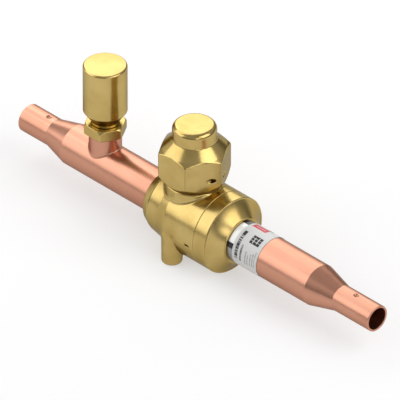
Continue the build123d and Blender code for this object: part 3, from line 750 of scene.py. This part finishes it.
# %% Sections of the forging
beyond = -30.0  # the far side of a section's axis, past all metal
mark_drop = 1.7
barrel_outline = outline_of(
    [(-13.68, beyond), (seam_x, beyond), (seam_x, barrel_r, 0.3), (-1.903, barrel_r, 0.5)]
    + [(-7.003, 15.4, 0.5), (-13.35, 14.35, 0.15), (-13.68, 14.0, 0.1)],
    0.2,
)
neck_outline = outline_of(
    [(beyond, -5.0), (12.3, -5.0), (12.3, 17.5, 0.9), (10.5, 17.5), (10.5, 19.2, 0.2)]
    + [(10.1, 19.6, 0.2), (10.1, 26.4, 0.3), (9.5, 27.0, 0.2), (beyond, 27.0)],
    0.1,
)
foot_outline = outline_of(
    [(beyond, -axis_up), (4.4, -axis_up, 1.2), (4.4, -2.0, 2.2), (beyond, -2.0)], 0.1
)
bore_outline = outline_of(
    [(-20.0, beyond), (17.0, beyond), (17.0, 14.0), (11.003, 14.0), (11.003, 12.6)]
    + [(-11.003, 12.6), (-11.003, 11.05), (-12.603, 11.05), (-12.603, 8.0), (-20.0, 8.0)]
)
well_outline = outline_of(
    [(beyond, 0.0), (6.6, 0.0), (6.6, 15.5), (4.54, 15.5), (4.54, 22.0), (6.6, 22.0)]
    + [(6.6, 29.0), (beyond, 29.0)]
)
print("sections drawn")

# %% [markdown]
# One formula holds the whole body. Barrel and neck meet in a small fillet, the
# feet in a larger one, and then the bores, the pin's hole and the screw holes
# are cut. The grid is finer where a thin step or a slot would blur.

# %% Forged body
def slot_at(x, z, middle, half_length, radius):
    """Distance to a slot along the pipe, at the height of the flow mark."""
    return np.hypot(np.maximum(np.abs(x - middle) - half_length, 0), z + mark_drop) - radius


def body_field(x, y, z):
    round_pipe, round_neck = np.hypot(y, z), np.hypot(x, y)
    round_foot = np.hypot(x, np.abs(y) - foot_y)
    solid = joined(barrel_outline(x, round_pipe), neck_outline(round_neck, z), 0.8)
    solid = joined(solid, foot_outline(round_foot, z), 1.0)
    slot = shared(slot_at(x, z, 12.0, 0.75, 0.5), y + 15.8, 0.0)
    solid = without(solid, slot, 0.12)
    solid = without(solid, bore_outline(x, round_pipe), 0.1)
    solid = without(solid, well_outline(round_neck, z), 0.1)
    pin_hole = shared(np.hypot(x - 8.55, y) - 1.0, 23.0 - z, 0.0)
    solid = without(solid, pin_hole, 0.05)
    screw_hole = shared(round_foot - 2.1, z + 10.2, 0.0)
    return without(solid, screw_hole, 0.2)


low, high = (-14.2, -18.1, -17.6), (16.1, 18.1, 27.5)
finer_steps = ((0, -13.9, -13.1, 0.13), (0, 10.5, 13.5, 0.14), (0, 15.1, 15.9, 0.13))
finer_steps += ((2, -2.7, -0.7, 0.14), (2, 16.4, 17.8, 0.2))
body = skinned("body_forged", body_field, low, high, 0.4, forged_brass, finer_steps)
fit(body, "forged_brass", "valve_body")

# %% [markdown]
# The die leaves two small raised marks, on the front of the barrel and of the
# neck. They are thin skins on the metal, so each has a fine grid of its own.
# The collar behind the barrel is turned bright, so it comes off the lathe.

# %% Raised marks and the turned collar
def flow_mark(x, y, z):
    """A ring and a line that show the way through, raised by a tenth."""
    ring = np.abs(np.hypot(x - 3.5, z + mark_drop) - 0.8) - 0.3
    line = slot_at(x, z, 7.6, 3.3, 0.3)
    skin = np.abs(np.hypot(y, z) - 16.94) - 0.18
    return shared(np.minimum(ring, line), skin, 0.08)


def neck_mark(x, y, z):
    """A small ring raised on the front of the neck."""
    ring = np.abs(np.hypot(x + 0.5, z - 15.0) - 0.75) - 0.22
    skin = np.abs(np.hypot(x, y) - 12.24) - 0.18
    return shared(ring, skin, 0.08)


low, high = (2.1, -17.4, -3.1), (11.5, -16.4, -0.3)
mark_on_barrel = skinned("flow_mark_raised", flow_mark, low, high, 0.11, forged_brass)
fit(mark_on_barrel, "forged_brass")
low, high = (-1.8, -12.7, 13.8), (0.8, -11.9, 16.2)
mark_on_neck = skinned("neck_mark_raised", neck_mark, low, high, 0.11, forged_brass)
fit(mark_on_neck, "forged_brass")
collar = turned(
    "collar_turned",
    [(-18.103, 9.14), (-13.7, 9.14), (-13.7, 13.95, 0.1), (-14.05, 14.1, 0.15)]
    + [(-17.5, 12.5, 0.4), (-18.103, 11.9, 0.3)],
    turned_brass,
)
fit(collar, "forged_brass", "valve_body")

# %% [markdown]
# The seal cap is turned from hexagon bar. The lathe bevels both ends of the
# hexagon, which draws the curved edges across its flats, and leaves a round
# top. A hole through one corner takes a sealing wire.

# %% Seal cap
def hexagon(first, second, flat, ease):
    """Distance to a hexagon bar with its corners on the first axis."""
    distance = np.abs(second) - flat
    for lean in (math.radians(30), math.radians(150)):
        across = np.abs(first * math.cos(lean) + second * math.sin(lean))
        distance = shared(distance, across - flat, ease)
    return distance


half_flats = 13.5
cap_outline = outline_of(
    [(beyond, 17.7), (12.0, 17.7, 0.3), (13.3, 18.9, 0.3), (15.7, 21.6, 0.4), (15.7, 32.2, 0.4)]
    + [(13.5, 33.8, 0.4), (9.28, 38.1, 0.9), (9.28, 44.6, 2.2), (beyond, 44.6)],
    0.1,
)
cap_hollow = outline_of(
    [(beyond, 16.0), (11.35, 16.0), (11.35, 18.4), (10.55, 18.4), (10.55, 31.0), (6.6, 34.95)]
    + [(6.6, 41.0), (beyond, 41.0)]
)


def cap_field(x, y, z):
    out = np.hypot(x, y)
    solid = shared(hexagon(x, y, half_flats, 0.6), cap_outline(out, z), 0.4)
    solid = without(solid, cap_hollow(out, z), 0.15)
    wire_hole = np.hypot(x - 13.388, z - 24.5) - 1.0
    return without(solid, wire_hole, 0.18)


finer_steps = ((0, 11.8, 15.2, 0.14), (2, 23.1, 25.9, 0.14))
low, high = (-16.0, -14.0, 17.3), (16.0, 14.0, 45.0)
seal_cap = skinned("seal_cap_turned", cap_field, low, high, 0.34, cap_brass, finer_steps)
fit(seal_cap, "cap_brass", "seal_cap", body="seal_cap")

# %% [markdown]
# The access port: a copper stub brazed into the tube, a brass fitting with a
# small hexagon and a flare cone, and a tall smooth cap. The stub is cut to sit
# on the round tube, and the braze draws up a small fillet there.

# %% Stub, fitting and access cap
fitting_up = 15.5
access_half_flats = 8.0


def stub_field(x, y, z):
    out = np.hypot(x - port_x, y)
    pipe = np.hypot(y, z) - tube_r
    wall = shared(out - 6.9, z - fitting_up, 0.2)
    braze = np.maximum(joined(wall, pipe + 0.08, 0.7), np.maximum(out - 8.0, z - 12.0))
    wall = np.minimum(wall, braze)
    wall = np.maximum(without(wall, pipe + 0.9, 0.0), -z)
    return without(wall, out - 4.95, 0.1)


fitting_outline = outline_of(
    [(beyond, 10.2), (4.9, 10.2, 0.2), (4.9, fitting_up, 0.05), (7.8, fitting_up, 0.1)]
    + [(9.3, 15.95, 0.1), (9.3, 19.3, 0.15), (8.14, 20.5, 0.2), (4.9, 20.5, 0.2)]
    + [(4.9, 21.4, 0.1), (5.15, 21.7, 0.1), (5.15, 30.0, 0.1), (3.6, 32.2, 0.2), (beyond, 32.2)],
    0.1,
)
fitting_bore = outline_of(
    [(beyond, 9.0), (2.0, 9.0), (2.0, 17.0), (2.6, 17.0), (2.6, 33.0), (beyond, 33.0)]
)


def fitting_field(x, y, z):
    out = np.hypot(x - port_x, y)
    bar = hexagon(x - port_x, y, access_half_flats, 0.35)
    solid = shared(bar, fitting_outline(out, z), 0.3)
    return without(solid, fitting_bore(out, z), 0.1)


low, high = (-61.5, -9.4, 2.0), (-42.3, 9.4, 15.9)
stub = skinned("stub_brazed", stub_field, low, high, 0.26, copper)
fit(stub, "copper", "access_stub")
low, high = (-61.6, -8.4, 9.8), (-42.2, 8.4, 32.6)
fitting = skinned("access_fitting_turned", fitting_field, low, high, 0.26, cap_brass)
fit(fitting, "forged_brass", "access_fitting")
access_cap = turned(
    "access_cap_turned",
    [(48.7, 0.0), (48.7, 9.27, 1.0), (26.6, 9.27, 0.4), (21.8, 6.06, 0.3), (20.7, 6.06, 0.15)]
    + [(20.7, 5.61), (33.2, 5.61), (33.2, 4.41), (44.0, 4.41), (44.0, 0.0)],
    cap_brass,
    axis="Z",
    centre=(port_x, 0.0),
    closed=False,
)
fit(access_cap, "cap_brass", "access_cap", body="access_cap")

# %% [markdown]
# Under the caps the neck and the flare carry threads. A thread is one ridge
# that climbs round a cylinder, so it is grown along a spiral with Geometry
# Nodes: root, pitch, turns and depth stay named inputs until the mesh is made.

# %% Threads grown along a spiral
def thread_group():
    """Node group: a ridge of trapezoid section swept along a spiral."""
    tree = bpy.data.node_groups.new("thread_ridge", "GeometryNodeTree")
    for name in ("Root", "Pitch", "Turns", "Depth"):
        tree.interface.new_socket(name, in_out="INPUT", socket_type="NodeSocketFloat")
    tree.interface.new_socket("Place", in_out="INPUT", socket_type="NodeSocketVector")
    tree.interface.new_socket("Finish", in_out="INPUT", socket_type="NodeSocketMaterial")
    tree.interface.new_socket("Ridge", in_out="OUTPUT", socket_type="NodeSocketGeometry")
    given = tree.nodes.new("NodeGroupInput").outputs

    def add(kind, settings=None, **values):
        """Adds a node; its sockets are named by keyword, or by number as _0, _1."""
        node = tree.nodes.new(kind)
        for key, value in (settings or {}).items():
            setattr(node, key, value)
        for key, value in values.items():
            socket = node.inputs[int(key[1:]) if key[1:].isdigit() else key.replace("_", " ")]
            if isinstance(value, bpy.types.NodeSocket):
                tree.links.new(value, socket)
            else:
                socket.default_value = value
        return node.outputs[0]

    def times(first, second):
        return add("ShaderNodeMath", {"operation": "MULTIPLY"}, _0=first, _1=second)

    half_depth = times(given["Depth"], 0.45)
    middle = add("ShaderNodeMath", {"operation": "ADD"}, _0=given["Root"], _1=half_depth)
    spiral = add(
        "GeometryNodeCurveSpiral",
        Resolution=72,
        Rotations=given["Turns"],
        Start_Radius=middle,
        End_Radius=middle,
        Height=times(given["Turns"], given["Pitch"]),
    )
    upright = add("GeometryNodeSetCurveNormal", {"mode": "Z_UP"}, Curve=spiral)
    section = add(
        "GeometryNodeCurvePrimitiveQuadrilateral",
        {"mode": "TRAPEZOID"},
        Bottom_Width=times(given["Pitch"], 0.86),
        Top_Width=times(given["Pitch"], 0.2),
        Height=given["Depth"],
        Offset=0.0,
    )
    facing_out = (0.0, 0.0, math.radians(-90))
    section = add("GeometryNodeTransform", Geometry=section, Rotation=facing_out)
    swept = add("GeometryNodeCurveToMesh", Curve=upright, Profile_Curve=section, Fill_Caps=True)
    placed = add("GeometryNodeTransform", Geometry=swept, Translation=given["Place"])
    real = add("GeometryNodeRealizeInstances", Geometry=placed)
    painted = add("GeometryNodeSetMaterial", Geometry=real, Material=given["Finish"])
    tree.links.new(painted, tree.nodes.new("NodeGroupOutput").inputs["Ridge"])
    return tree


def threaded(name, group, material, root, pitch, turns, depth, place):
    """Runs the node group once and keeps what it grew as a plain mesh."""
    grower = bpy.data.objects.new(name + "_grower", bpy.data.meshes.new(name + "_empty"))
    bpy.context.scene.collection.objects.link(grower)
    modifier = grower.modifiers.new("ridge", "NODES")
    modifier.node_group = group
    given = {
        "Root": root * MM,
        "Pitch": pitch * MM,
        "Turns": turns,
        "Depth": depth * MM,
        "Place": Vector((place[0], place[1], place[2] + axis_up)) * MM,
        "Finish": material,
    }
    for item in group.interface.items_tree:
        if item.in_out == "INPUT":
            modifier[item.identifier] = given[item.name]
    evaluated = grower.evaluated_get(bpy.context.evaluated_depsgraph_get())
    mesh = bpy.data.meshes.new_from_object(evaluated)
    bpy.data.objects.remove(grower)
    mesh.name = name
    ridge = bpy.data.objects.new(name, mesh)
    bpy.context.scene.collection.objects.link(ridge)
    return ridge


group = thread_group()
neck_thread = threaded(
    "neck_thread", group, turned_brass,
    root=10.1, pitch=1.5, turns=4.0, depth=0.4, place=(0.0, 0.0, 20.1),
)
fit(neck_thread, "forged_brass")
flare_thread = threaded(
    "flare_thread", group, cap_brass,
    root=5.15, pitch=1.27, turns=5.6, depth=0.4, place=(port_x, 0.0, 22.4),
)
fit(flare_thread, "forged_brass")
print("thread faces:", len(neck_thread.data.polygons), len(flare_thread.data.polygons))

# %% [markdown]
# The band is a ring of foil that carries a painted highlight, and the label is
# paper laid on the tube.
# The paper doesn't go all the way round, and its corners are cut round so
# that they don't lift.

# %% Band and label
band = turned(
    "band_foil",
    [(27.903, 9.11), (30.803, 9.11), (30.803, 9.25, 0.05), (27.903, 9.25, 0.05)],
    finishes["foil"],
    ease=0.02,
)
fit(band, "foil", "label_foil")


def label_sheet():
    """A sheet with round corners, bent round the pipe."""
    start, end, corner = 30.803, 44.603, 3.3
    low, high = math.radians(-20.0), math.radians(230.0)
    inner_r, outer_r = 9.105, 9.25
    bend = np.linspace(0, np.pi / 2, 14)
    off_end = corner * (1 - np.cos(bend))
    off_side = corner * (1 - np.sin(bend))
    places = np.concatenate((start + off_end, end - off_end[::-1]))
    inset = np.concatenate((off_side, off_side[::-1])) / tube_r
    shares = np.linspace(0, 1, 150)
    rows, columns = len(places), len(shares)
    vertices, normals = [], []
    for radius, facing in ((outer_r, 1), (inner_r, -1)):
        for place, cut in zip(places, inset):
            angle = low + cut + (high - low - 2 * cut) * shares
            outward = np.column_stack((np.zeros(columns), np.cos(angle), np.sin(angle)))
            vertices.append(outward * radius + np.array((place, 0, axis_up)))
            normals.append(outward * facing)
    faces = []
    back = rows * columns
    for i in range(rows - 1):
        for j in range(columns - 1):
            a, b = i * columns + j, (i + 1) * columns + j
            faces.append((a, b, b + 1, a + 1))
            faces.append((back + a, back + a + 1, back + b + 1, back + b))
    rim = [i * columns for i in range(rows)]
    rim += list(range((rows - 1) * columns + 1, rows * columns))
    rim += [i * columns + columns - 1 for i in range(rows - 2, -1, -1)]
    rim += list(range(columns - 2, 0, -1))
    for a, b in zip(rim, rim[1:] + rim[:1]):
        faces.append((a, b, back + b, back + a))
    return np.vstack(vertices), faces, np.vstack(normals)


label = solid_from("label_paper_wound", *label_sheet(), finishes["label_paper"])
fit(label, "label_paper", "label_panel")
print("label faces:", len(label.data.polygons))

# %% [markdown]
# The camera looks down on the valve from the front, nearer to the label's end,
# from far away with a long lens, so that the edges stay parallel as they are
# on the photograph. A longer lens still would put the camera of the other
# views past its clip end, and those views would come out blank.

# %% Camera
def look_from_afar():
    right = np.array((0.70711, 0.70711, 0.0))
    up = np.array((-0.40825, 0.40825, 0.81650))
    back = np.array((0.57735, -0.57735, 0.57735))
    frame_pixels, pixels_per_mm = 400, 2.44
    pixels_right, pixels_up = 5.4, 13.2
    aside = (right * pixels_right + up * pixels_up) / pixels_per_mm
    centre = np.array((0.0, 0.0, axis_up)) + aside
    lens, sensor = 1400.0, 36.0
    distance = frame_pixels / pixels_per_mm / (sensor / lens)
    data = bpy.data.cameras.new("camera")
    data.lens, data.sensor_width = lens, sensor
    data.clip_start, data.clip_end = 0.1, 100.0
    camera = bpy.data.objects.new("camera", data)
    bpy.context.scene.collection.objects.link(camera)
    place = (centre + back * distance) * MM
    rows = [(right[i], up[i], back[i], place[i]) for i in range(3)]
    camera.matrix_world = Matrix((*rows, (0.0, 0.0, 0.0, 1.0)))
    bpy.context.scene.camera = camera


look_from_afar()
print("camera set")

# %% [markdown]
# A plain pale floor and soft studio light. The floor is close to white for the
# camera and in reflections, and still takes the shadow. The world is pale
# below, dark at the horizon and grey above, which draws the dark lines along
# polished metal, and large lamps do the modelling.

# %% Floor, world and lamps
def pale_floor():
    bench = Bench("pale_floor")
    spot, x, y, z = bench.place()
    cloud = bench.noise(spot, 3.0, 2.0)
    colour = bench.blend(cloud, (0.93, 0.93, 0.93, 1.0), (0.95, 0.95, 0.95, 1.0))
    rough = cloud.ramp(0.3, 0.7, 0.85, 0.95)
    lit = bench.add("ShaderNodeBsdfDiffuse", values={"Color": colour, "Roughness": rough})
    glow = {"Color": (1.0, 1.0, 1.0, 1.0), "Strength": 1.0}
    white = bench.add("ShaderNodeEmission", values=glow)
    camera = bench.add("ShaderNodeLightPath", out="Is Camera Ray")
    glossy = bench.add("ShaderNodeLightPath", out="Is Glossy Ray")
    through = bench.add("ShaderNodeLightPath", out="Is Transmission Ray")
    seen = camera.maths("MAXIMUM", glossy).maths("MAXIMUM", through) * 0.5
    shader = bench.add("ShaderNodeMixShader", values={0: seen, 1: lit, 2: white})
    material = bench.close(shader)
    reach = 3.0
    corners = [(-reach, -reach, 0), (reach, -reach, 0), (reach, reach, 0), (-reach, reach, 0)]
    mesh = bpy.data.meshes.new("floor")
    mesh.from_pydata(corners, [], [(0, 1, 2, 3)])
    mesh.materials.append(material)
    floor = bpy.data.objects.new("floor", mesh)
    bpy.context.scene.collection.objects.link(floor)


def studio_world():
    """Brightness by height, from -1 below to 1 overhead."""
    world = bpy.data.worlds.new("studio")
    bpy.context.scene.world = world
    world.use_nodes = True
    tree = world.node_tree
    tree.nodes.clear()
    direction = tree.nodes.new("ShaderNodeTexCoord")
    parts = tree.nodes.new("ShaderNodeSeparateXYZ")
    tree.links.new(direction.outputs["Generated"], parts.inputs[0])
    height = tree.nodes.new("ShaderNodeMapRange")
    height.inputs["From Min"].default_value = -1.0
    tree.links.new(parts.outputs["Z"], height.inputs["Value"])
    ramp = tree.nodes.new("ShaderNodeValToRGB")
    below, horizon = ((-1.0, 0.9), (-0.03, 0.9)), ((0.01, 0.16), (0.2, 0.2))
    above = ((0.36, 0.45), (0.7, 0.5), (1.0, 0.45))
    shades = below + horizon + above
    for place, shade in shades[1:-1]:
        ramp.color_ramp.elements.new((place + 1) / 2)
    for element, (place, shade) in zip(ramp.color_ramp.elements, shades):
        element.position = (place + 1) / 2
        element.color = (shade, shade, shade, 1.0)
    tree.links.new(height.outputs["Result"], ramp.inputs["Fac"])
    sky = tree.nodes.new("ShaderNodeBackground")
    output = tree.nodes.new("ShaderNodeOutputWorld")
    tree.links.new(ramp.outputs["Color"], sky.inputs["Color"])
    tree.links.new(sky.outputs[0], output.inputs["Surface"])


def softbox(name, towards, distance, size, radiance):
    """A large soft lamp in a direction from the valve, as bright as said."""
    place = Vector(towards).normalized() * distance
    aim = Vector((0.0, 0.0, 0.03))
    data = bpy.data.lights.new(name, "AREA")
    data.shape, data.size, data.size_y = "RECTANGLE", size[0], size[1]
    data.energy = math.pi * size[0] * size[1] * radiance
    light = bpy.data.objects.new(name, data)
    light.location = place
    light.rotation_euler = (aim - place).to_track_quat("-Z", "Y").to_euler()
    bpy.context.scene.collection.objects.link(light)


pale_floor()
studio_world()
softbox("front_left", (-0.6, -0.6, 0.5), 0.9, (0.84, 0.72), 1.7)
softbox("left_low", (-0.96, -0.2, 0.17), 0.95, (0.5, 0.3), 0.6)
softbox("left_top", (-0.577, 0.08, 0.81), 0.95, (0.8, 0.5), 1.6)
softbox("back_left", (-0.65, 0.6, 0.46), 0.9, (0.75, 0.6), 2.15)
softbox("front_right", (0.81, -0.42, 0.42), 0.9, (0.32, 0.32), 2.0)
softbox("right", (0.66, 0.2, 0.66), 0.9, (0.65, 0.6), 2.3)
bpy.context.scene.view_settings.view_transform = "Standard"
print("studio lit")
